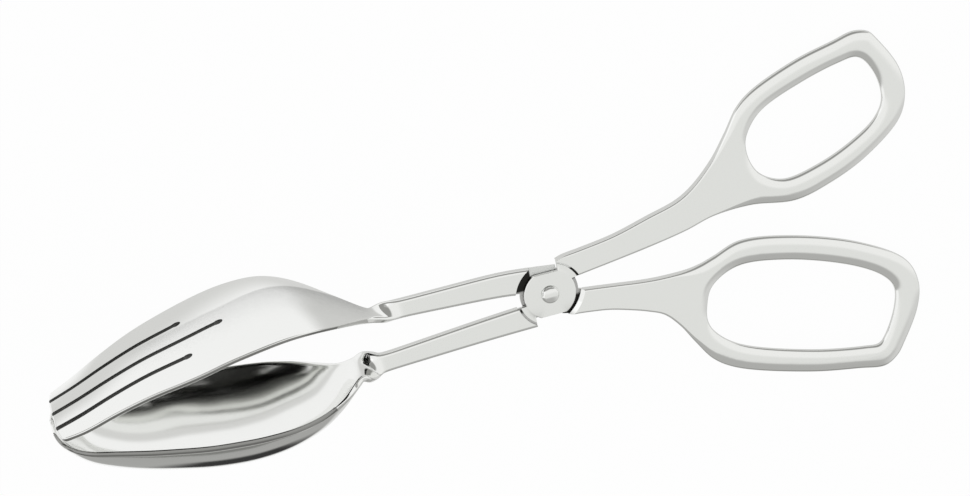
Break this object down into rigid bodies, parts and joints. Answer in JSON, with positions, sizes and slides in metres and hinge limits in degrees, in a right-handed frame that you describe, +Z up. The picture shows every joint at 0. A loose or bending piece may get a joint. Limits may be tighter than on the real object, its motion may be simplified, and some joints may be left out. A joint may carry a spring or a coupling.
{
  "type": "serving tongs",
  "caption": "Scissor serving tongs: a spoon lever and a fork lever of steel, crossed at a rivet, with a finger loop on each handle.",
  "frame": {"origin": "middle of the closed tongs' bounding box, on the floor they lie on", "axes": "+X along the tongs, from the bowls to the handles; +Y across them, from the spoon to the fork; +Z up, away from the floor"},
  "size_m": [0.2436, 0.0992, 0.0524],
  "materials": {
    "spoon_steel": "polished",
    "fork_steel": "polished",
    "rivet_steel": "polished"
  },
  "bodies": {
    "fork_lever": {"fork_lever": "fork_steel", "pivot_rivet": "rivet_steel"},
    "spoon_lever": {"spoon_lever": "spoon_steel"}
  },
  "joints": [
    {"name": "pivot", "type": "hinge", "parent": "fork_lever", "child": "spoon_lever", "pos_m": [0.01586, -0.00189, 0.01454], "axis": [0.1257, 0, 0.9921], "range_deg": [0, 45]}
  ]
}
